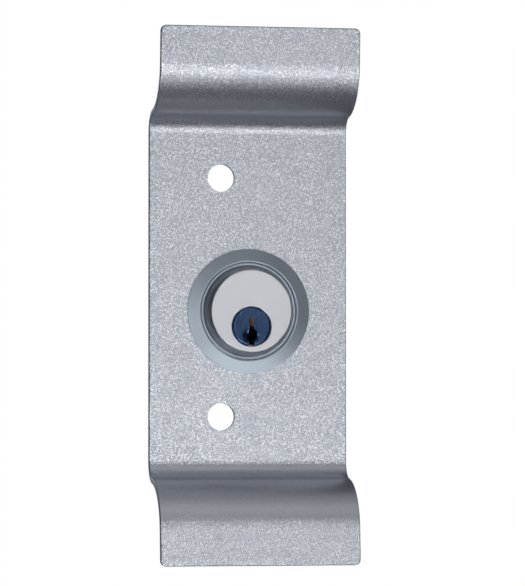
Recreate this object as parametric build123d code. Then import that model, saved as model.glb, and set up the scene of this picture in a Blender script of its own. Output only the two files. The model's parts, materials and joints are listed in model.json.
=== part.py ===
from build123d import *
import os
from math import cos, radians, sin, sqrt, tan

# Key cylinder pull plate: the outside trim of a door's exit device, as fitted to a door.
# Millimetres. +X is to the right seen from outside, +Y goes into the door, +Z is up.
# The origin is the middle of the pull plate's back face, which lies on the door at Y = 0.

# ---- pull plate: one piece of sheet, bent out into a finger lip at each end
plate_width = 69.85
plate_height = 184.15
sheet = 1.9
lip_height = 30.4          # from the foot of the lip's wall to the plate's end
lip_reach = 21.3           # the lip's end stands this far in front of the plate's front
wall_lean = 9.0            # degrees that the wall leans off square
lip_lean = 3.5             # degrees that the lip flares away from the door
foot_radius = 6.0          # inside radius where the wall leaves the plate
brow_radius = 18.0         # outside radius where the wall turns into the lip
corner_radius = 2.0
edge_round = 0.4
bolt_spacing = 82.55
bolt_hole = 9.525
bolt_offset = -9.525       # the bolt holes stand left of the cylinder
cylinder_drop = 4.7625     # the cylinder's axis below the plate's middle
cylinder_clearance = 2.55  # the hole in the plate over the shell's body

# ---- door and the clamp behind it
door_thickness = 44.45
clamp_width = 31.75
clamp_height = 57.15
clamp_thickness = 2.3
clamp_corner = 6.0
tail_hole = 15.0

# ---- cylinder shell
body_diameter = 29.2
body_length = 30.2         # face to back
head_overhang = 1.4        # the head's base past the body, all round
head_taper = 3.5           # from the head's base to its face, on the diameter
head_round = 0.5
face_height = 5.8          # the face in front of the plate's front
plug_drop = 5.4            # the plug's axis below the shell's axis
mouth_round = 0.45         # rounded mouth of the bore round the plug
cover_width = 4.2
cover_thickness = 1.4
cover_sink = 2.2           # the cover's seat below the top of the shell's body

# ---- collar
collar_band = 4.9          # width of the sloped ring
collar_edge = 0.6
collar_rise = 1.5
collar_gap = 1.2           # recess over the head's base, on the diameter
collar_seat = 0.5
collar_round = 0.75        # rounded rim of the recess

# ---- plug
plug_diameter = 12.7
shoulder_step = 0.35       # the shoulder past the plug, all round
shoulder_length = 3.0
plug_round = 0.6
neck_step = 0.65           # the neck inside the plug, all round
neck_length = 4.0
slot_width = 1.6
slot_top = 3.05            # top of the keyway above the plug's axis
keyway_wall = 2.0          # metal left behind the keyway, ahead of the shell's back
dimple_diameter = 5.8
dimple_depth = 0.45
dimple_x = -0.3
dimple_drop = 3.1

# ---- pin stacks
pin_count = 5
pin_pitch = 3.96
pin_diameter = 2.92
pin_margin = 0.25          # metal between the head's base and the first chamber
bottom_pins = [5.69, 4.55, 6.07, 5.31, 4.93]
driver_length = 4.6
pocket_floor = 0.1         # bottom of the plug's pin pockets above the plug's axis
tip_flat = 0.4             # radius left flat at a pin's pointed end
pin_chamfer = 0.25
crown_flat = 0.6           # radius left flat at a pin's crowned end
spring_wire = 0.28
spring_diameter = 2.6
spring_turns = 8

# ---- cap and tailpiece
cap_ring = 1.9             # from the neck to the cap's flutes
cap_end = 1.2
cap_hole = 7.4
cap_notches = 8
cap_flutes = 16
flute_radius = 0.6
cap_pin_diameter = 1.8
cap_pin_length = 3.0
cap_pin_inset = 1.2        # the cap pin's axis inside the neck's edge
cap_pin_reach = 0.8
cap_spring_room = 1.6
cap_spring_turns = 4
disc_thickness = 1.5
disc_width = 6.2
blade_width = 5.2
blade_thickness = 1.6
blade_past_clamp = 24.0
blade_score = 0.25
score_pitch = 3.175

# ---- clamp screws
screw_diameter = 5.4
screw_spread = 21.6
screw_depth = 11.0         # thread engaged in the shell
screw_head = 9.4
screw_head_height = 3.0
screw_slot = 1.3
break_pitch = 6.35
break_depth = 0.6

# ---- clearances
running = 0.05             # plug in shell, on the radius
pin_play = 0.04            # pins in their chambers, on the radius
end_play = 0.1             # cap to shell
fit_gap = 0.05             # parts that don't move against each other
body_gap = 0.3             # shell body in the collar
hole_gap = 0.25            # clamp screws in the clamp plate

# ---- sizes and places worked out from the sizes above
cylinder_hole = body_diameter + cylinder_clearance
head_base = body_diameter + 2 * head_overhang
head_face = head_base - head_taper
collar_opening = head_base + collar_gap
collar_diameter = collar_opening + 2 * collar_band
shoulder_diameter = plug_diameter + 2 * shoulder_step
neck_diameter = plug_diameter - 2 * neck_step
cap_diameter = neck_diameter + 2 * cap_ring
cap_pin_radius = neck_diameter / 2 - cap_pin_inset
plate_front = -sheet
face_y = plate_front - face_height
seat_y = plate_front - collar_seat
back_y = face_y + body_length
axis_z = -cylinder_drop
plug_z = axis_z - plug_drop
plug_radius = plug_diameter / 2
bore_radius = plug_radius + running
chamber_radius = pin_diameter / 2 + pin_play
first_pin_y = seat_y + pin_margin + chamber_radius
pin_places = [first_pin_y + i * pin_pitch for i in range(pin_count)]
shear_z = plug_z + bore_radius
cover_z = axis_z + body_diameter / 2 - cover_sink
cap_front = back_y + end_play
plug_end = cap_front + neck_length
cap_wall = plug_end + disc_thickness + fit_gap
cap_back = cap_wall + cap_end
clamp_front = door_thickness
clamp_back = clamp_front + clamp_thickness
tail_end = clamp_back + blade_past_clamp
screw_places = [-screw_spread / 2, screw_spread / 2]
screw_hole = screw_diameter / 2 + fit_gap


def rod(radius, start, end, x=0.0, z=0.0):
    """A round bar along Y."""
    bar = Cylinder(radius, end - start, align=(Align.CENTER, Align.CENTER, Align.MIN))
    return Pos(x, start, z) * Rot(-90, 0, 0) * bar


def turned(outline, x=0.0, z=0.0, rim_round=0.0):
    """A body turned about an axis along Y from (radius, y) points, with its front rim rounded."""
    face = make_face(Polyline(*outline, close=True))
    if rim_round:
        face = fillet(face.vertices().group_by(Axis.Y)[0].sort_by(Axis.X)[-1], rim_round)
    return Pos(x, 0, z) * revolve(face, Axis.Y)


def upright(outline, y=0.0, z=0.0):
    """A body turned about an axis along Z from (radius, z) points."""
    face = make_face(Plane.XZ * Polyline(*outline, close=True))
    return Pos(0, y, z) * revolve(face, Axis.Z)


def along_y(sketch, start, end, x=0.0, z=0.0):
    """A sketch drawn as seen from behind the door's outside, carried along Y."""
    body = extrude(Plane.XZ * sketch, end - start, dir=(0, 1, 0))
    return Pos(x, start, z) * body


def coil(wire, diameter, turns, length):
    """A compression spring along Z that stands on Z = 0."""
    radius = (diameter - wire) / 2
    rise = length - wire - 2 * fit_gap
    path = Helix(rise / turns, rise, radius)
    section = Plane(path @ 0, z_dir=path % 0) * Circle(wire / 2)
    return Pos(0, 0, wire / 2 + fit_gap) * sweep(section, path=path, is_frenet=True)


def lip_line(side):
    """The sheet's front line from the middle of the plate to the lip's end, as (y, z) points."""
    end_z = plate_height / 2
    foot_z = end_z - lip_height
    run = lip_reach - lip_height * tan(radians(lip_lean))
    slope = tan(radians(wall_lean)) * tan(radians(lip_lean))
    brow = run / (1 - slope)
    brow_z = foot_z + brow * tan(radians(wall_lean))
    past = 2 * sheet
    tip = brow + (end_z + past - brow_z) * tan(radians(lip_lean))
    return [(0, 0), (0, side * foot_z), (-brow, side * brow_z), (-tip, side * (end_z + past))]


def pull_plate():
    """Flat plate with an outward lip at the top and the bottom, cut to its outline and pierced."""
    upper = [Vector(plate_front + y, z) for y, z in lip_line(1)]
    lower = [Vector(plate_front + y, z) for y, z in lip_line(-1)]
    points = list(reversed(upper[1:])) + lower[1:]
    wall = (upper[2] - upper[1]).length - 0.1 - foot_radius * tan(radians(90 - wall_lean) / 2)
    brow = min(brow_radius, wall / tan(radians(90 - wall_lean - lip_lean) / 2))
    front = FilletPolyline(*points, radius=[brow, foot_radius, foot_radius, brow])
    section = front.wire().offset_2d(sheet, side=Side.LEFT, closed=True)
    body = extrude(Plane.YZ * make_face(section), plate_width / 2, both=True)
    depth = 2 * (lip_reach + sheet)
    outline = RectangleRounded(plate_width, plate_height, corner_radius)
    body = body & along_y(outline, -depth, depth)
    rims = [edge for edge in body.edges() if edge.length > sheet * 1.5]
    body = fillet(rims, edge_round)
    body -= rod(cylinder_hole / 2, plate_front - 1, 1, z=axis_z)
    for side in (-1, 1):
        body -= rod(bolt_hole / 2, plate_front - 1, 1, x=bolt_offset, z=side * bolt_spacing / 2)
    return body


def cylinder_collar():
    """Low ring with a gently sloped face and a recessed seat for the cylinder's head."""
    bore = body_diameter / 2 + body_gap
    opening = collar_opening / 2
    outline = [
        (bore, plate_front),
        (collar_diameter / 2, plate_front),
        (collar_diameter / 2, plate_front - collar_edge),
        (opening, plate_front - collar_rise),
        (opening, seat_y),
        (bore, seat_y),
    ]
    return turned(outline, z=axis_z, rim_round=collar_round)


def cylinder_shell():
    """Housing with a tapered head, an off-centre plug bore, pin chambers and two tapped holes."""
    body = body_diameter / 2
    outline = [
        (0, face_y),
        (head_face / 2, face_y),
        (head_base / 2, seat_y),
        (body, seat_y),
        (body, back_y - 0.5),
        (body - 0.5, back_y),
        (0, back_y),
    ]
    shell = turned(outline, z=axis_z, rim_round=head_round)
    step = shoulder_diameter / 2 + running
    bore = [
        (0, face_y - 1),
        (step, face_y - 1),
        (step, face_y + shoulder_length),
        (bore_radius, face_y + shoulder_length),
        (bore_radius, back_y + 1),
        (0, back_y + 1),
    ]
    shell -= turned(bore, z=plug_z)
    mouth = shell.edges().filter_by(GeomType.CIRCLE).group_by(Axis.Y)[0].sort_by(Axis.Z)
    ledge = head_face / 2 - plug_drop - step - head_round
    shell = fillet([edge for edge in mouth if edge.radius < step + 0.01], min(mouth_round, 0.9 * ledge))
    for y in pin_places:
        chamber = Cylinder(chamber_radius, cover_z - plug_z + 1, align=(Align.CENTER, Align.CENTER, Align.MIN))
        shell -= Pos(0, y, plug_z) * chamber
    groove = Box(cover_width, cover_run(), body, align=(Align.CENTER, Align.MIN, Align.MIN))
    shell -= Pos(0, cover_start(), cover_z) * groove
    for x in screw_places:
        shell -= rod(screw_hole, back_y - screw_depth - 1.5, back_y + 1, x=x, z=axis_z)
    return shell


def cover_start():
    return pin_places[0] - chamber_radius - 0.15


def cover_run():
    return pin_places[-1] + chamber_radius + 1.0 - cover_start()


def chamber_cover():
    """Brass strip set in a groove along the top of the shell, over the pin chambers."""
    strip = Box(
        cover_width - 2 * fit_gap,
        cover_run() - 2 * fit_gap,
        cover_thickness,
        align=(Align.CENTER, Align.MIN, Align.MIN),
    )
    strip = chamfer(strip.edges().group_by(Axis.Z)[-1], 0.2)
    return Pos(0, cover_start() + fit_gap, cover_z) * strip


def keyway():
    """Section of the warded keyway, open at the bottom of the plug, seen from the front."""
    half = slot_width / 2
    low = -plug_radius - 1
    outline = [
        (-half, slot_top), (half, slot_top), (half, -0.8), (1.6, -1.35), (2.1, -2.2),
        (2.1, -3.5), (1.55, -4.3), (0.95, -4.7), (0.95, low),
        (-0.95, low), (-0.95, -4.8), (-1.75, -4.3), (-1.75, -2.7),
        (-1.05, -2.3), (-1.05, -1.6), (-half, -1.3),
    ]
    return make_face(Polyline(*outline, close=True))


def cylinder_plug():
    """Turning plug with a front shoulder, keyway, pin pockets and a neck for the cap."""
    shoulder = shoulder_diameter / 2
    outline = [
        (0, face_y),
        (shoulder, face_y),
        (shoulder, face_y + shoulder_length - fit_gap),
        (plug_radius, face_y + shoulder_length - fit_gap),
        (plug_radius, cap_front),
        (neck_diameter / 2, cap_front),
        (neck_diameter / 2, plug_end - 0.4),
        (neck_diameter / 2 - 0.4, plug_end),
        (0, plug_end),
    ]
    plug = turned(outline, z=plug_z, rim_round=plug_round)
    ball = (dimple_diameter ** 2 / 4 + dimple_depth ** 2) / (2 * dimple_depth)
    plug -= Pos(dimple_x, face_y + dimple_depth - ball, plug_z - dimple_drop) * Sphere(ball)
    plug -= along_y(keyway(), face_y - 1, back_y - keyway_wall, z=plug_z)
    for y in pin_places:
        pocket = Cylinder(chamber_radius, plug_diameter, align=(Align.CENTER, Align.CENTER, Align.MIN))
        plug -= Pos(0, y, plug_z + pocket_floor) * pocket
    hole = cap_pin_diameter / 2 + fit_gap
    depth = cap_pin_length - disc_thickness - fit_gap - cap_pin_reach + cap_spring_room
    plug -= rod(hole, plug_end - depth, plug_end + 1, z=plug_z + cap_pin_radius)
    return plug


def bottom_pin(length, y):
    """Key pin: pointed below, crowned above so that it clears the shell as the plug turns."""
    radius = pin_diameter / 2
    top = plug_radius - 0.02
    tip = plug_radius - length
    outline = [
        (0, tip), (tip_flat, tip), (radius, tip + radius - tip_flat),
        (radius, top - pin_chamfer), (crown_flat, top), (0, top),
    ]
    return upright(outline, y, plug_z)


def driver_pin(y):
    """Upper pin: crowned below, chamfered above where the spring stands on it."""
    radius = pin_diameter / 2
    outline = [
        (0, 0), (crown_flat, 0), (radius, pin_chamfer), (radius, driver_length - pin_chamfer),
        (radius - pin_chamfer, driver_length), (0, driver_length),
    ]
    return upright(outline, y, shear_z)


def pin_spring(y):
    """Coil spring between a driver pin and the chamber cover."""
    foot = shear_z + driver_length
    return Pos(0, y, foot) * coil(spring_wire, spring_diameter, spring_turns, cover_z - foot)


def plug_cap():
    """Screwed cap with a fluted rim, a tail hole and notches for the cap pin."""
    inside = neck_diameter / 2 + fit_gap
    rim = cap_diameter / 2
    outline = [
        (inside, cap_front), (rim, cap_front), (rim, cap_back - 0.5), (rim - 0.5, cap_back),
        (cap_hole / 2, cap_back), (cap_hole / 2, cap_wall), (inside, cap_wall),
    ]
    cap = turned(outline, z=plug_z)
    for i in range(cap_flutes):
        turn = radians(360 * i / cap_flutes)
        place = rim + flute_radius / 2
        cap -= rod(flute_radius, cap_front - 1, cap_back + 1, place * cos(turn), plug_z + place * sin(turn))
    for i in range(cap_notches):
        turn = radians(90 + 360 * i / cap_notches)
        x = cap_pin_radius * cos(turn)
        z = plug_z + cap_pin_radius * sin(turn)
        cap -= rod(cap_pin_diameter / 2 + fit_gap, cap_wall - 1, cap_back + 1, x, z)
    return cap


def cap_pin():
    """Small sprung pin in the plug's rear that stops the cap from unscrewing."""
    end = cap_wall + cap_pin_reach
    pin = rod(cap_pin_diameter / 2, end - cap_pin_length, end, z=plug_z + cap_pin_radius)
    return chamfer(pin.edges().group_by(Axis.Y)[-1], 0.3)


def cap_pin_spring():
    start = cap_wall + cap_pin_reach - cap_pin_length - cap_spring_room
    spring = coil(0.2, cap_pin_diameter - 0.1, cap_spring_turns, cap_spring_room)
    return Pos(0, start, plug_z + cap_pin_radius) * Rot(-90, 0, 0) * spring


def tailpiece():
    """Flat bar with a clipped disc held in the cap, scored so that it snaps to length."""
    disc = rod(neck_diameter / 2 - 0.2, plug_end, plug_end + disc_thickness, z=plug_z)
    clip = Pos(0, plug_end, plug_z) * Box(neck_diameter, 4 * disc_thickness, disc_width)
    disc = disc & clip
    length = tail_end - plug_end
    blade = Box(blade_width, length, blade_thickness, align=(Align.CENTER, Align.MIN, Align.CENTER))
    ends = blade.edges().filter_by(Axis.Z).group_by(Axis.Y)[-1]
    blade = Pos(0, plug_end, plug_z) * chamfer(ends, 0.9)
    score = Rot(45, 0, 0) * Box(blade_width + 1, blade_score * sqrt(2), blade_score * sqrt(2))
    y = cap_back + 4 * score_pitch
    while y < tail_end - 2 * score_pitch:
        for side in (-1, 1):
            blade -= Pos(0, y, plug_z + side * blade_thickness / 2) * score
        y += score_pitch
    return disc + blade


def clamp_plate():
    """Steel plate on the door's inner face, with the tail hole and two screw holes."""
    outline = RectangleRounded(clamp_width, clamp_height, clamp_corner)
    plate = along_y(outline, clamp_front, clamp_back, z=axis_z)
    plate = chamfer(plate.faces().sort_by(Axis.Y)[-1].edges(), 0.3)
    plate -= rod(tail_hole / 2, clamp_front - 1, clamp_back + 1, z=plug_z)
    for x in screw_places:
        plate -= rod(screw_diameter / 2 + hole_gap, clamp_front - 1, clamp_back + 1, x=x, z=axis_z)
    return plate


def clamp_screw(x):
    """Long slotted pan-head screw with break-off grooves, from the clamp plate into the shell."""
    radius = screw_diameter / 2
    head = screw_head / 2
    tip = back_y - screw_depth
    outline = [(0, tip), (radius - 0.7, tip), (radius, tip + 0.7)]
    y = tip + 2 * break_pitch
    while y < clamp_front - break_pitch / 2:
        outline += [(radius, y - break_depth), (radius - break_depth, y), (radius, y + break_depth)]
        y += break_pitch
    outline += [(radius, clamp_back), (head, clamp_back), (head, clamp_back + screw_head_height * 0.55)]
    outline += [(head * 0.72, clamp_back + screw_head_height), (0, clamp_back + screw_head_height)]
    screw = turned(outline, x, axis_z)
    cut = Box(screw_head + 1, screw_head_height, screw_slot)
    return screw - Pos(x, clamp_back + screw_head_height, axis_z) * cut


def pieces():
    """Every piece with its node name."""
    made = {
        "pull_plate": pull_plate(),
        "cylinder_collar": cylinder_collar(),
        "cylinder_shell": cylinder_shell(),
        "chamber_cover": chamber_cover(),
        "cylinder_plug": cylinder_plug(),
        "plug_cap": plug_cap(),
        "cap_pin": cap_pin(),
        "cap_pin_spring": cap_pin_spring(),
        "tailpiece": tailpiece(),
        "clamp_plate": clamp_plate(),
    }
    for i, y in enumerate(pin_places):
        made[f"bottom_pin_{i + 1}"] = bottom_pin(bottom_pins[i], y)
        made[f"driver_pin_{i + 1}"] = driver_pin(y)
        made[f"pin_spring_{i + 1}"] = pin_spring(y)
    for i, x in enumerate(screw_places):
        made[f"clamp_screw_{i + 1}"] = clamp_screw(x)
    return made


os.makedirs("parts", exist_ok=True)
for name, solid in pieces().items():
    export_step(solid, f"parts/{name}.step")
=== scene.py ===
import json
from math import cos, pi, radians, sin

import bmesh
import bpy
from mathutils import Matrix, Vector


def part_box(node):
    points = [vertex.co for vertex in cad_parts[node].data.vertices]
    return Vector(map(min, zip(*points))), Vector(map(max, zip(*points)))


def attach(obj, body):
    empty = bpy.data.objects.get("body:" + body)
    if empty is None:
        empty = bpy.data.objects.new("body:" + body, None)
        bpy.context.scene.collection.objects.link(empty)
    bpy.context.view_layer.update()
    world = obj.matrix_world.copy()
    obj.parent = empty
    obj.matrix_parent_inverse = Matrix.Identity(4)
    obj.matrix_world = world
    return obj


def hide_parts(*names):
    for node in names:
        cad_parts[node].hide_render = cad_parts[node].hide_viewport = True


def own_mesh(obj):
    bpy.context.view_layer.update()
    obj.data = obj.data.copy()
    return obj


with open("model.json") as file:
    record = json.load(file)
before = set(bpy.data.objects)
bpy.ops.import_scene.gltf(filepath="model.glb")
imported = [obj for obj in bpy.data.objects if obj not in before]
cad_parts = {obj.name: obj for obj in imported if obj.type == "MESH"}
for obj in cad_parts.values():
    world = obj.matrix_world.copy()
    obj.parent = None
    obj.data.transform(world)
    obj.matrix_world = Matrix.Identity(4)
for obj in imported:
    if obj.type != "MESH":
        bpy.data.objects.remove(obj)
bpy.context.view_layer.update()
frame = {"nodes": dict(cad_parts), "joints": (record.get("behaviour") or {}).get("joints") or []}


# ---------------------------------------------------------------------------- pull plate
# One piece of steel sheet with a finger lip pressed out at each end. It is sprayed with a
# silver lacquer full of coarse aluminium flakes, which lie at small random tilts and so
# glint one by one. Each flake's colour is partly its own tone and partly painted glint, and
# round the bends the colour is painted flatter and darker: painted shade. The faces that
# look sideways, the sheet's cut edges, are painted near black: painted shade.
class Tap:
    """A value that a finish works out. Sums written with taps become Math nodes."""

    def __init__(self, finish, socket):
        self.finish, self.socket = finish, socket

    def math(self, operation, *terms):
        return self.finish.node("ShaderNodeMath", {"operation": operation}, dict(enumerate(terms)))

    def __add__(self, other):
        return self.math("ADD", self, other)

    def __sub__(self, other):
        return self.math("SUBTRACT", self, other)

    def __rsub__(self, other):
        return self.math("SUBTRACT", other, self)

    def __mul__(self, other):
        return self.math("MULTIPLY", self, other)

    def __pow__(self, other):
        return self.math("POWER", self, other)

    def __abs__(self):
        return self.math("ABSOLUTE", self)

    __radd__, __rmul__ = __add__, __mul__

    def between(self, low, high):
        """0 where this is at low, 1 where it is at high, smooth between them."""
        settings = {"interpolation_type": "SMOOTHSTEP"}
        limits = {"Value": self, "From Min": low, "From Max": high}
        return self.finish.node("ShaderNodeMapRange", settings, limits)


class Finish:
    """A material under construction, worn by pieces when it is done."""

    def __init__(self, name):
        self.material = bpy.data.materials.new(name)
        self.material.use_nodes = True
        self.tree = self.material.node_tree
        self.tree.nodes.clear()

    def node(self, kind, settings=None, values=None, out=0):
        """Adds a node: its settings first, then the values or links of its sockets."""
        made = self.tree.nodes.new(kind)
        for name, value in (settings or {}).items():
            setattr(made, name, value)
        for key, value in (values or {}).items():
            if isinstance(value, Tap):
                self.tree.links.new(value.socket, made.inputs[key])
            else:
                made.inputs[key].default_value = value
        return Tap(self, made.outputs[out]) if made.outputs else None

    def place(self):
        """Where a point lies on the piece at rest, in metres."""
        return self.node("ShaderNodeTexCoord", out="Object")

    def parts(self, vector):
        """The X, Y and Z of a vector."""
        split = self.node("ShaderNodeSeparateXYZ", values={0: vector})
        return [Tap(self, socket) for socket in split.socket.node.outputs]

    def facing(self):
        """The X, Y and Z of the surface's own normal."""
        return self.parts(self.node("ShaderNodeNewGeometry", out="Normal"))

    def noise(self, place, size, detail=2.0):
        """Soft random mottling, from 0 to 1, with spots about size across."""
        values = {"Vector": place, "Scale": 1 / size, "Detail": detail}
        return self.node("ShaderNodeTexNoise", values=values)

    def tint(self, share, low, high):
        """A colour between low and high."""
        settings = {"data_type": "RGBA"}
        values = {"Factor": share, 6: tone(low), 7: tone(high)}
        return self.node("ShaderNodeMix", settings, values, out=2)

    def bump(self, height, depth):
        """A surface normal for small relief, depth metres high where height is 1."""
        values = {"Height": height, "Distance": depth, "Strength": 1.0}
        return self.node("ShaderNodeBump", values=values)

    def surface(self, **sockets):
        """Ends the finish. Socket names have _ for their spaces."""
        values = {name.replace("_", " "): value for name, value in sockets.items()}
        shader = self.node("ShaderNodeBsdfPrincipled", values=values)
        self.node("ShaderNodeOutputMaterial", values={"Surface": shader})

    def on_nodes(self, *names):
        """Puts the finish on nodes of the frame."""
        for name in names:
            for place in frame["nodes"][name].material_slots:
                place.material = self.material


def tone(colour):
    """A colour to a node's socket: a tap stays, red green blue gets its alpha."""
    return colour if isinstance(colour, Tap) else (*colour, 1.0)


def flake_lacquer():
    flake_size, flake_tilt = 0.00036, 0.14
    cloud_size = 0.018
    lacquer_dark, lacquer_light_and_glint = (0.42, 0.45, 0.51), (0.97, 0.98, 1.0)
    sideways_shade_dark = (0.10, 0.11, 0.15)
    paint = Finish("flake_lacquer")
    place = paint.place()
    side, _, up = paint.facing()
    # painted shade: where the bends and walls face a little up, or steeply down, the flakes get less tilt
    # and the painted glint gives way to an even, slightly darker colour
    shaded_bend = up.between(0.08, 0.35) + (0 - up).between(0.5, 0.9)
    tilt = flake_tilt * (1 - 0.75 * shaded_bend)
    cells = {"Vector": place, "Scale": 1 / flake_size}
    flake = paint.node("ShaderNodeTexVoronoi", values=cells, out="Color")
    lie = paint.node("ShaderNodeVectorMath", {"operation": "SUBTRACT"}, {0: flake, 1: (0.5, 0.5, 0.5)})
    lie = paint.node("ShaderNodeVectorMath", {"operation": "SCALE"}, {0: lie, "Scale": tilt})
    normal = paint.node("ShaderNodeNewGeometry", out="Normal")
    lie = paint.node("ShaderNodeVectorMath", {"operation": "ADD"}, {0: normal, 1: lie})
    lie = paint.node("ShaderNodeVectorMath", {"operation": "NORMALIZE"}, {0: lie})
    red, green, blue = paint.parts(flake)
    # painted glint: a few flakes are lifted towards near white in the colour, over the flakes' own tone
    flake_tone_and_glint = (red * green).between(0.0, 0.8)
    cloud = paint.noise(place, cloud_size)
    brightness = flake_tone_and_glint * (1 - 0.85 * shaded_bend) + 0.2 * shaded_bend + 0.08 * cloud
    body = paint.tint(brightness, lacquer_dark, lacquer_light_and_glint)
    # painted shade: faces that look sideways, the sheet's cut edges, are painted near black
    sideways_shade = abs(side).between(0.6, 0.95)
    paint.surface(
        Base_Color=paint.tint(sideways_shade, body, sideways_shade_dark),
        Metallic=0.85,
        Roughness=0.33 + 0.06 * blue,
        Normal=lie,
        Coat_Weight=0.12,
        Coat_Roughness=0.25,
    )
    return paint


flake_lacquer().on_nodes("pull_plate")


# -------------------------------------------------------------------------------- collar
# A low turned ring that the cylinder's head stands in. It is plated and then bead
# blasted, so it has an even satin sheen with a faint trace of the turning tool.
def turned_trace(finish, centre_x, centre_z, groove):
    """Fine rings about an axis along Y, as a turning tool leaves them, from 0 to 1."""
    x, y, z = finish.parts(finish.place())
    across = (x - centre_x) ** 2 + (z - centre_z) ** 2
    radius = across ** 0.5
    ring = finish.node("ShaderNodeCombineXYZ", values={0: radius, 1: 0.2 * y})
    return finish.noise(ring, groove)


def middle(node):
    """The middle of a node's box."""
    low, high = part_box(node)
    return (low + high) / 2


def satin_plating():
    bead_size, groove, relief = 0.00025, 0.00018, 0.000012
    # the satin colours are darker and bluer than the plating is: painted shade and a painted bluish
    # reflection
    shaded_satin_dark, shaded_satin_light = (0.32, 0.37, 0.42), (0.40, 0.46, 0.51)
    axis = middle("cylinder_collar")
    satin = Finish("satin_plating")
    grain = satin.noise(satin.place(), bead_size, 3.0)
    rings = turned_trace(satin, axis.x, axis.z, groove)
    satin.surface(
        Base_Color=satin.tint(grain, shaded_satin_dark, shaded_satin_light),
        Metallic=1.0,
        Roughness=0.32 + 0.08 * grain,
        Normal=satin.bump(0.6 * grain + 0.4 * rings, relief),
    )
    return satin


satin_plating().on_nodes("cylinder_collar")


# ------------------------------------------------------------------------ cylinder shell
# The lock's brass housing, turned and bored. Only its tapered head shows on the door, so
# only the head is plated and satin finished, and the body behind it is left as bare brass
# with the turning marks on it.
def shell_metal():
    grain_size, groove, relief = 0.0003, 0.00022, 0.00001
    plated_dark, plated_light = (0.59, 0.60, 0.63), (0.65, 0.66, 0.69)
    brass_dark, brass_light = (0.60, 0.43, 0.17), (0.74, 0.56, 0.25)
    plated_to, plating_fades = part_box("cylinder_collar")[1].y, 0.0004
    axis = middle("cylinder_shell")
    metal = Finish("shell_metal")
    _, y, _ = metal.parts(metal.place())
    bare = y.between(plated_to, plated_to + plating_fades)
    grain = metal.noise(metal.place(), grain_size, 3.0)
    rings = turned_trace(metal, axis.x, axis.z, groove)
    plating = metal.tint(grain, plated_dark, plated_light)
    brass = metal.tint(rings, brass_dark, brass_light)
    metal.surface(
        Base_Color=metal.tint(bare, plating, brass),
        Metallic=1.0,
        Roughness=0.27 + 0.10 * rings,
        Normal=metal.bump(rings, relief),
    )
    return metal


shell_metal().on_nodes("cylinder_shell")


# -------------------------------------------------------------------------- cylinder plug
# The turning plug, of brass with a broached keyway. Only its face is polished and plated;
# its deep blue is a painted reflection of a blue room, with hair scratches where keys have
# missed the slot. Inside the keyway the brass is bare but painted pale, a painted light on
# the slot's walls, and its lower half is painted near black: painted shade.
def plug_mirror():
    # the deep blue of the plated face is a painted reflection of a blue room, not the plating's own
    # colour
    plated_dark, plated_light = (0.048, 0.095, 0.205), (0.15, 0.24, 0.42)
    # the keyway's bare brass is painted paler and brighter than the pins' brass: painted light on the
    # slot's walls
    brass_dark, brass_light = (0.70, 0.55, 0.36), (0.95, 0.83, 0.62)
    keyway_shade_black = (0.02, 0.018, 0.02)
    plating_ends, plating_fades = 0.00045, 0.00025
    scratch_size, smear_size, broach_mark, relief = 0.0009, 0.003, 0.0004, 0.000006
    axis = middle("cylinder_plug")
    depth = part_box("cylinder_plug")[0].y + plating_ends
    mirror = Finish("plug_mirror")
    place = mirror.place()
    x, y, z = mirror.parts(place)
    bare = y.between(depth, depth + plating_fades)
    # painted shade: the keyway below the plug's axis is painted near black
    keyway_shade = (axis.z - z).between(-0.0004, 0.0003)
    streak = mirror.node("ShaderNodeCombineXYZ", values={0: 7 * x, 1: y, 2: 0.5 * z})
    scratch = mirror.noise(streak, scratch_size, 4.0).between(0.60, 0.72)
    smear = mirror.noise(place, smear_size)
    broached = mirror.noise(streak, broach_mark)
    plating = mirror.tint(0.5 * scratch + 0.3 * smear, plated_dark, plated_light)
    brass = mirror.tint(broached, brass_dark, brass_light)
    inside = mirror.tint(keyway_shade, brass, keyway_shade_black)
    polished = 0.13 + 0.12 * scratch + 0.06 * smear
    mirror.surface(
        Base_Color=mirror.tint(bare, plating, inside),
        Metallic=1 - 0.7 * bare,
        Roughness=polished * (1 - bare) + 0.45 * bare,
        Normal=mirror.bump(scratch, relief),
    )
    return mirror


plug_mirror().on_nodes("cylinder_plug")


# ------------------------------------------------------------------------------ pin stacks
# Five key pins under five driver pins, all turned from brass rod on an automatic lathe and
# barrel polished, so that they are bright with faint rings.
def turned_brass():
    groove, stain_size, relief = 0.00012, 0.0016, 0.000005
    brass_dark, brass_light = (0.66, 0.47, 0.20), (0.88, 0.70, 0.36)
    brass = Finish("turned_brass")
    place = brass.place()
    x, _, z = brass.parts(place)
    ring = brass.node("ShaderNodeCombineXYZ", values={2: z, 0: 0.05 * x})
    rings = brass.noise(ring, groove)
    stain = brass.noise(place, stain_size, 3.0)
    brass.surface(
        Base_Color=brass.tint(stain, brass_dark, brass_light),
        Metallic=1.0,
        Roughness=0.22 + 0.10 * rings,
        Normal=brass.bump(rings, relief),
    )
    return brass


pin_total = len([name for name in frame["nodes"] if name.startswith("driver_pin_")])
brass_pins = turned_brass()
for number in range(1, pin_total + 1):
    brass_pins.on_nodes(f"bottom_pin_{number}", f"driver_pin_{number}")


# ----------------------------------------------------------------------------- pin springs
# One coil of drawn wire over each driver pin, with its end turns closed up, and a smaller
# one behind the cap pin.
def drawn_wire():
    streak_size = 0.00015
    steel_dark, steel_light = (0.38, 0.38, 0.40), (0.62, 0.63, 0.65)
    wire = Finish("drawn_wire")
    streak = wire.noise(wire.place(), streak_size)
    wire.surface(
        Base_Color=wire.tint(streak, steel_dark, steel_light),
        Metallic=1.0,
        Roughness=0.24 + 0.12 * streak,
    )
    return wire


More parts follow.
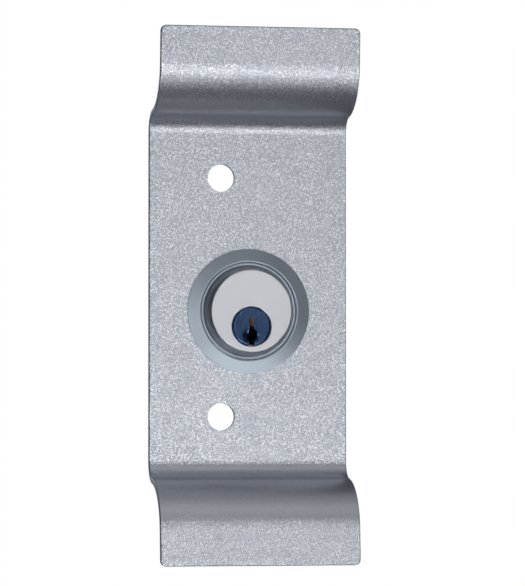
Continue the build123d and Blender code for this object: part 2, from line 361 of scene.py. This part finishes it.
def new_piece(name, body, finish, mesh_maker):
    """A mesh object filled by mesh_maker, smooth but for its sharp edges, on a body."""
    build = bmesh.new()
    mesh_maker(build)
    bmesh.ops.recalc_face_normals(build, faces=build.faces)
    mesh = bpy.data.meshes.new(name)
    build.to_mesh(mesh)
    build.free()
    mesh.polygons.foreach_set("use_smooth", [True] * len(mesh.polygons))
    mesh.set_sharp_from_angle(angle=radians(40))
    mesh.materials.append(finish.material)
    piece = bpy.data.objects.new(name, mesh)
    bpy.context.scene.collection.objects.link(piece)
    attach(piece, body)
    return piece


def tube_along(build, rings):
    """Joins equal rings of points into a closed skin."""
    made = [[build.verts.new(point) for point in ring] for ring in rings]
    count = len(made[0])
    for first, second in zip(made, made[1:]):
        for i in range(count):
            j = (i + 1) % count
            build.faces.new((first[i], first[j], second[j], second[i]))
    build.faces.new(made[0])
    build.faces.new(made[-1])


def coil_rings(foot, along, radius, wire, length, turns):
    """Rings of points along a spring's wire, from its foot, with a closed turn at each end."""
    steps_a_turn, sides = 24, 10
    along = Vector(along)
    right = along.orthogonal().normalized()
    back = along.cross(right)
    steps = int(turns * steps_a_turn)
    closed = steps_a_turn
    open_rise = length - 3 * wire
    rings = []
    height = wire / 2
    for step in range(steps + 1):
        turn = 2 * pi * step / steps_a_turn
        out = right * cos(turn) + back * sin(turn)
        centre = foot + along * height + out * radius
        ring = []
        for i in range(sides):
            angle = 2 * pi * i / sides
            ring.append(centre + (out * cos(angle) + along * sin(angle)) * wire / 2)
        rings.append(ring)
        is_end = step < closed or step >= steps - closed
        height += wire / closed if is_end else open_rise / (steps - 2 * closed)
    return rings


spring_steel = drawn_wire()
pin_wire, pin_turns = 0.00028, 9
for number in range(1, pin_total + 1):
    node, joint_name = f"pin_spring_{number}", f"driver_slide_{number}"
    low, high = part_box(node)
    centre = middle(node)
    tall = high.z - low.z
    foot = Vector((centre.x, centre.y, low.z))
    radius = (high.x - low.x - pin_wire) / 2
    coil = coil_rings(foot, (0, 0, 1), radius, pin_wire, tall, pin_turns)
    piece = new_piece(
        f"coil_{number}", "root", spring_steel, lambda build: tube_along(build, coil)
    )
    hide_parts(node)
    lift = next(joint["range_m"][1] for joint in frame["joints"] if joint["name"] == joint_name)
    1 - lift / tall
    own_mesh(piece)

cap_wire, cap_turns = 0.0002, 5
low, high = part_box("cap_pin_spring")
centre = middle("cap_pin_spring")
foot = Vector((centre.x, low.y, centre.z))
radius = (high.x - low.x - cap_wire) / 2
coil = coil_rings(foot, (0, 1, 0), radius, cap_wire, high.y - low.y, cap_turns)
piece = new_piece("cap_coil", "plug", spring_steel, lambda build: tube_along(build, coil))
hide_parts("cap_pin_spring")


# --------------------------------------------------------------- chamber cover and plug cap
# Brass again: the strip pressed into its groove over the pin chambers, the fluted cap on the
# plug's neck that holds the tailpiece, and the small pin that keeps the cap from turning.
# They have never been polished, so they are duller than the pins.
def dull_brass():
    stain_size, grain_size, relief = 0.004, 0.0002, 0.000008
    brass_dark, brass_light = (0.42, 0.29, 0.12), (0.66, 0.49, 0.22)
    brass = Finish("dull_brass")
    place = brass.place()
    stain = brass.noise(place, stain_size, 4.0)
    grain = brass.noise(place, grain_size)
    brass.surface(
        Base_Color=brass.tint(stain, brass_dark, brass_light),
        Metallic=1.0,
        Roughness=0.30 + 0.12 * grain,
        Normal=brass.bump(grain, relief),
    )
    return brass


dull_brass().on_nodes("chamber_cover", "plug_cap", "cap_pin")


# ------------------------------------------------------------------- tailpiece, clamp plate
# Both are stamped from cold rolled steel and zinc plated: a bright grey with a slight blue
# and straw cast, and the long faint lines of the rolling mill under it.
def zinc_plate():
    line_width, cast_size, relief = 0.0003, 0.011, 0.000012
    grey_dark, grey_light = (0.48, 0.50, 0.53), (0.66, 0.68, 0.70)
    straw_dark, straw_light = (0.52, 0.50, 0.44), (0.70, 0.68, 0.60)
    zinc = Finish("zinc_plate")
    place = zinc.place()
    x, y, z = zinc.parts(place)
    long_line = zinc.node("ShaderNodeCombineXYZ", values={0: x, 1: y, 2: 0.04 * z})
    rolling = zinc.noise(long_line, line_width, 3.0)
    cast = zinc.noise(place, cast_size, 3.0)
    grey = zinc.tint(rolling, grey_dark, grey_light)
    straw = zinc.tint(rolling, straw_dark, straw_light)
    zinc.surface(
        Base_Color=zinc.tint(cast.between(0.45, 0.7), grey, straw),
        Metallic=1.0,
        Roughness=0.30 + 0.14 * rolling,
        Normal=zinc.bump(rolling, relief),
    )
    return zinc


zinc = zinc_plate()
zinc.on_nodes("tailpiece", "clamp_plate")


# ---------------------------------------------------------------------------- clamp screws
# Two long machine screws pull the clamp plate towards the lock through the door. Each has
# a rolled thread, break-off grooves to shorten it by, and a slotted pan head.
def screw_rings(tip, head_top, head_radius, seat):
    """Rings of points from the screw's tip, along its thread, to the top of its head."""
    pitch, ridge, major = 0.00106, 0.0006, 0.0027
    sides, steps_a_pitch = 32, 10
    break_pitch, break_depth = 0.00635, 0.0006
    thread_end, lead_in = seat - 0.0015, 0.0007
    crown_steps, crown_flat = 7, 0.5
    rings = []
    steps = int((thread_end - tip.y) / pitch * steps_a_pitch)
    for step in range(steps + 1):
        y = tip.y + step * pitch / steps_a_pitch
        ring = []
        for i in range(sides):
            phase = (y / pitch + i / sides) % 1.0
            crest = 1 - abs(2 * phase - 1)
            radius = major - ridge * (1 - min(1.0, 1.25 * crest))
            radius = min(radius, major - lead_in + (y - tip.y))
            to_break = abs((y - tip.y + break_pitch / 2) % break_pitch - break_pitch / 2)
            if y - tip.y > 1.5 * break_pitch:
                radius = min(radius, major - break_depth - ridge / 2 + to_break)
            angle = 2 * pi * i / sides
            ring.append((tip.x + radius * cos(angle), y, tip.z + radius * sin(angle)))
        rings.append(ring)
    tall = head_top - seat
    crown = [(major, thread_end + ridge), (major, seat), (head_radius, seat)]
    crown.append((head_radius, seat + 0.5 * tall))
    for step in range(1, crown_steps):
        angle = radians(90) * step / crown_steps
        crown.append((head_radius * (0.55 + 0.45 * cos(angle)), seat + tall * (0.5 + 0.5 * sin(angle))))
    crown.append((head_radius * crown_flat, head_top))
    turn = [2 * pi * i / sides for i in range(sides)]
    for radius, y in crown:
        rings.append([(tip.x + radius * cos(angle), y, tip.z + radius * sin(angle)) for angle in turn])
    return rings


def cut_slot(piece, centre, length, wide, deep):
    """Cuts a screwdriver slot across a head, level and open at both ends."""
    build = bmesh.new()
    bmesh.ops.create_cube(build, size=1.0)
    bmesh.ops.scale(build, vec=(length, 2 * deep, wide), verts=build.verts)
    bmesh.ops.translate(build, vec=centre, verts=build.verts)
    mesh = bpy.data.meshes.new("slot_cutter")
    build.to_mesh(mesh)
    build.free()
    cutter = bpy.data.objects.new("slot_cutter", mesh)
    bpy.context.scene.collection.objects.link(cutter)
    cut = piece.modifiers.new("slot", "BOOLEAN")
    cut.operation, cut.solver, cut.object = "DIFFERENCE", "EXACT", cutter
    bpy.context.view_layer.update()
    shaped = piece.evaluated_get(bpy.context.evaluated_depsgraph_get())
    piece.data = bpy.data.meshes.new_from_object(shaped)
    piece.modifiers.clear()
    bpy.data.objects.remove(cutter)
    piece.data.set_sharp_from_angle(angle=radians(40))


clamp_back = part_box("clamp_plate")[1].y
slot_length, slot_width, slot_depth = 0.012, 0.0013, 0.0015
for number in (1, 2):
    node = f"clamp_screw_{number}"
    low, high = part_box(node)
    centre = middle(node)
    tip = Vector((centre.x, low.y, centre.z))
    rings = screw_rings(tip, high.y, (high.x - low.x) / 2, clamp_back)
    piece = new_piece(
        f"threaded_screw_{number}", "root", zinc, lambda build: tube_along(build, rings)
    )
    cut_slot(piece, (centre.x, high.y, centre.z), slot_length, slot_width, slot_depth)
    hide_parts(node)


# ---------------------------------------------------------------------------------- studio
# A pale round room with a floor a metre below, as low as a door's furniture hangs above
# one. The round wall is plain white and lights nothing. Long low softboxes stand in front,
# so that the lips' bends show as bright and dark bands, and three more light the back.
def stage_piece(name, rings, shine, glow, fade_from, fade_to):
    """A pale round piece of the room that glows with painted light, brighter away from its middle."""
    paper = Finish(name)
    x, y, _ = paper.parts(paper.place())
    far = ((x ** 2 + y ** 2) ** 0.5).between(fade_from, fade_to)
    paper.surface(
        Base_Color=(shine, shine, shine, 1.0),
        Roughness=0.9,
        Emission_Color=paper.tint(far, (glow, glow, glow), (1.0, 1.0, 1.0)),
        Emission_Strength=1.0,
    )
    build = bmesh.new()
    tube_along(build, rings)
    mesh = bpy.data.meshes.new(name)
    build.to_mesh(mesh)
    build.free()
    mesh.materials.append(paper.material)
    piece = bpy.data.objects.new(name, mesh)
    bpy.context.scene.collection.objects.link(piece)
    piece.visible_diffuse = False
    piece.visible_glossy = False


def circle(radius, z, sides=96):
    return [(radius * cos(2 * pi * i / sides), radius * sin(2 * pi * i / sides), z) for i in range(sides)]


floor_z, floor_thickness = -1.0, 0.01
room_radius, room_height, overlap = 6.0, 7.0, 0.1
floor_rings = [circle(room_radius, floor_z - floor_thickness), circle(room_radius, floor_z)]
# the floor's glow is painted light, dimmer near the middle and full white five metres out, so the floor
# fades into the wall
stage_piece("floor", floor_rings, shine=0.80, glow=0.45, fade_from=1.0, fade_to=5.0)
wall_radius = room_radius + overlap
wall_rings = [circle(wall_radius, floor_z - overlap), circle(wall_radius, room_height)]
stage_piece("backdrop", wall_rings, shine=0.0, glow=1.0, fade_from=0.0, fade_to=1.0)


def softbox(name, place, wide, tall, power, colour=(1.0, 1.0, 1.0)):
    """A soft light that looks at the plate's middle."""
    light = bpy.data.lights.new(name, "AREA")
    light.shape, light.size, light.size_y = "RECTANGLE", wide, tall
    light.energy, light.color = power, colour
    lamp = bpy.data.objects.new(name, light)
    bpy.context.scene.collection.objects.link(lamp)
    lamp.location = place
    lamp.rotation_euler = (-Vector(place)).to_track_quat("-Z", "Y").to_euler()
    lamp.visible_camera = False


softbox("front", (0.17, -1.13, 0.00), 0.80, 0.34, 0.15, (0.97, 0.98, 1.0))
softbox("high_strip", (0.20, -1.12, 0.15), 0.80, 0.11, 0.80)
softbox("low_front", (0.20, -1.09, -0.31), 0.60, 0.16, 1.6)
softbox("low_left", (-0.36, -0.82, -0.66), 0.40, 0.24, 2.0)
softbox("low_right", (0.45, -0.85, -0.62), 0.60, 0.22, 0.5)
softbox("ceiling", (0.1, -0.82, 0.78), 0.8, 0.70, 1.0)
softbox("overhead", (0.1, -0.35, 1.15), 0.8, 0.5, 0.35)
softbox("behind_right", (0.8, 1.0, 0.0), 1.2, 1.0, 4.0)
softbox("behind_left", (-0.7, 1.1, 0.3), 1.0, 1.0, 3.0)
softbox("right_side", (1.2, 0.3, 0.1), 0.8, 1.2, 2.0)
softbox("by_camera", (-0.32, -1.22, -0.04), 0.16, 0.16, 0.6)

world = bpy.data.worlds.new("studio")
world.use_nodes = True
dim_sky = world.node_tree.nodes["Background"].inputs
dim_sky["Color"].default_value = (0.75, 0.82, 1.0, 1.0)
dim_sky["Strength"].default_value = 0.055
bpy.context.scene.world = world
bpy.context.scene.view_settings.view_transform = "Standard"


# ---------------------------------------------------------------------------------- camera
# It stands a little left of the plate and slightly below its middle, far enough away for
# the lips at both ends to look nearly as wide as the plate.
azimuth, elevation = radians(-12.35), radians(-1.65)
distance, field_height = 1.45, 0.2031
lens = bpy.data.cameras.new("camera")
lens.sensor_width = 36.0
lens.lens = lens.sensor_width * distance / field_height
lens.shift_x, lens.shift_y = 0.0265, 0.0079
camera = bpy.data.objects.new("camera", lens)
bpy.context.scene.collection.objects.link(camera)
level = distance * cos(elevation)
camera.location = (level * sin(azimuth), -level * cos(azimuth), distance * sin(elevation))
camera.rotation_euler = (-camera.location).to_track_quat("-Z", "Y").to_euler()
bpy.context.scene.camera = camera
